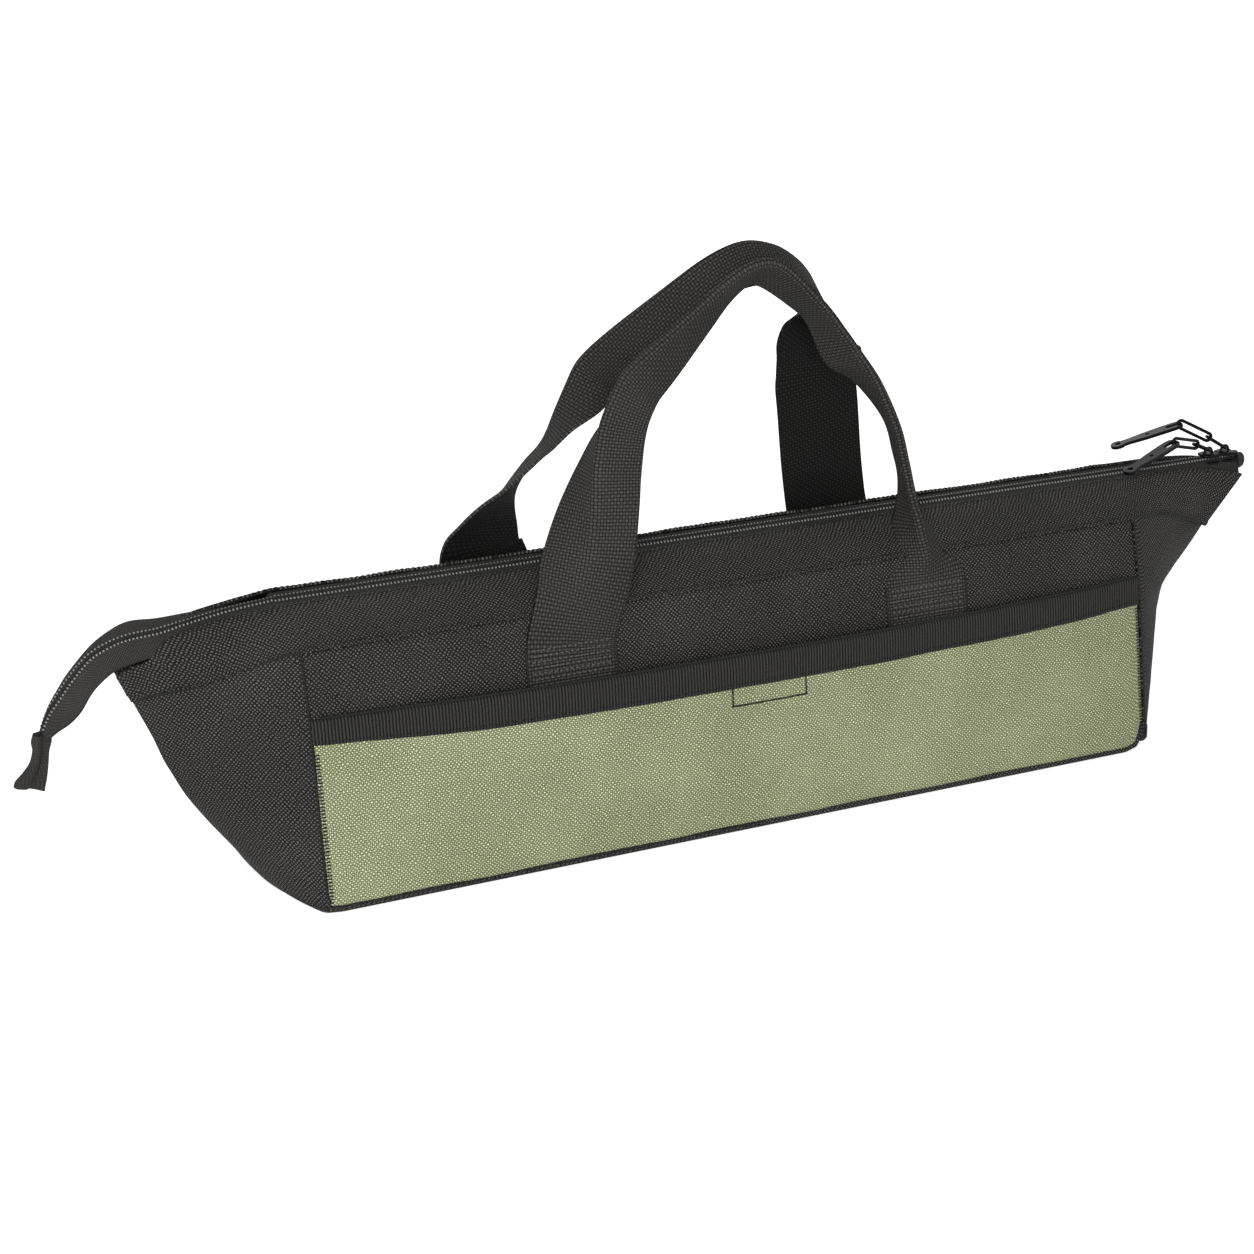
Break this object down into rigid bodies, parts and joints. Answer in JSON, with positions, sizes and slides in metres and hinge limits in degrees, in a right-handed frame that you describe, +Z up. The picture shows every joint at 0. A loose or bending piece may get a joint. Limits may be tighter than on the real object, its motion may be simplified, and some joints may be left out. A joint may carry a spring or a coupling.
{
  "type": "tool bag",
  "caption": "Long zippered cloth tool bag with a flat base, pointed winged ends, bound side pockets and folded webbing handles that carry it by hand.",
  "frame": {"origin": "middle of the underside of the base, on the surface that the bag stands on", "axes": "+X along the bag towards the end where the sliders are parked, +Y to the back, +Z up"},
  "size_m": [0.7387, 0.13, 0.2958],
  "materials": {
    "black_canvas": "black woven polyester canvas",
    "green_canvas": "sage green woven polyester canvas",
    "ribbed_binding": "black ribbed tape",
    "webbing": "black woven webbing",
    "zip_tape": "black knitted zip tape",
    "zip_teeth": "black nylon, slightly glossy",
    "black_metal": "black enamelled die casting",
    "base_board": "black plastic board"
  },
  "bodies": {
    "bag": {"base_panel": "black_canvas", "base_board": "base_board", "front_panel": "black_canvas", "front_pocket": "green_canvas", "front_pocket_binding": "ribbed_binding", "front_top_band": "black_canvas", "front_zip_tape": "zip_tape", "front_zip_teeth": "zip_teeth", "front_left_handle_anchor": "webbing", "front_right_handle_anchor": "webbing", "back_panel": "black_canvas", "back_pocket": "green_canvas", "back_pocket_binding": "ribbed_binding", "back_top_band": "black_canvas", "back_zip_tape": "zip_tape", "back_zip_teeth": "zip_teeth", "back_left_handle_anchor": "webbing", "back_right_handle_anchor": "webbing", "left_gusset": "black_canvas", "right_gusset": "black_canvas", "zip_tail_tab": "black_canvas", "zip_end_tab": "black_canvas"},
    "front_handle": {"front_handle": "webbing"},
    "back_handle": {"back_handle": "webbing"},
    "rear_slider": {"rear_slider": "black_metal"},
    "rear_inner_link": {"rear_inner_link": "black_metal"},
    "rear_outer_link": {"rear_outer_link": "black_metal"},
    "rear_pull_tab": {"rear_pull_tab": "black_metal"},
    "front_slider": {"front_slider": "black_metal"},
    "front_inner_link": {"front_inner_link": "black_metal"},
    "front_outer_link": {"front_outer_link": "black_metal"},
    "front_pull_tab": {"front_pull_tab": "black_metal"}
  },
  "joints": [
    {"name": "front_handle_swing", "type": "hinge", "parent": "bag", "child": "front_handle", "pos_m": [0, -0.04181, 0.118], "axis": [1, 0, 0], "range_deg": [0, 130]},
    {"name": "back_handle_swing", "type": "hinge", "parent": "bag", "child": "back_handle", "pos_m": [0, 0.04181, 0.118], "axis": [-1, 0, 0], "range_deg": [0, 130]},
    {"name": "rear_slider_travel", "type": "slide", "parent": "bag", "child": "rear_slider", "axis": [-1, 0, 0], "range_m": [0, 0.12]},
    {"name": "front_slider_travel", "type": "slide", "parent": "rear_slider", "child": "front_slider", "axis": [-1, 0, 0], "range_m": [0, 0.45]},
    {"name": "rear_inner_link_swing", "type": "hinge", "parent": "rear_slider", "child": "rear_inner_link", "pos_m": [0.3395, 0, 0.15365], "axis": [0.2419, 0.9703, 0], "range_deg": [0, 90]},
    {"name": "rear_outer_link_swing", "type": "hinge", "parent": "rear_inner_link", "child": "rear_outer_link", "pos_m": [0.32837, 0.00278, 0.16076], "axis": [0.2419, 0.9703, 0], "range_deg": [-4, 25]},
    {"name": "rear_pull_tab_swing", "type": "hinge", "parent": "rear_outer_link", "child": "rear_pull_tab", "pos_m": [0.31149, 0.00698, 0.16959], "axis": [0.2419, 0.9703, 0], "range_deg": [-3, 60]},
    {"name": "front_inner_link_swing", "type": "hinge", "parent": "front_slider", "child": "front_inner_link", "pos_m": [0.3277, 0, 0.15365], "axis": [-0.2419, 0.9703, 0], "range_deg": [0, 12]},
    {"name": "front_outer_link_swing", "type": "hinge", "parent": "front_inner_link", "child": "front_outer_link", "pos_m": [0.31573, -0.00298, 0.15914], "axis": [-0.2419, 0.9703, 0], "range_deg": [-2, 20]},
    {"name": "front_pull_tab_swing", "type": "hinge", "parent": "front_outer_link", "child": "front_pull_tab", "pos_m": [0.29746, -0.00754, 0.16419], "axis": [-0.2419, 0.9703, 0], "range_deg": [-2, 45]}
  ]
}
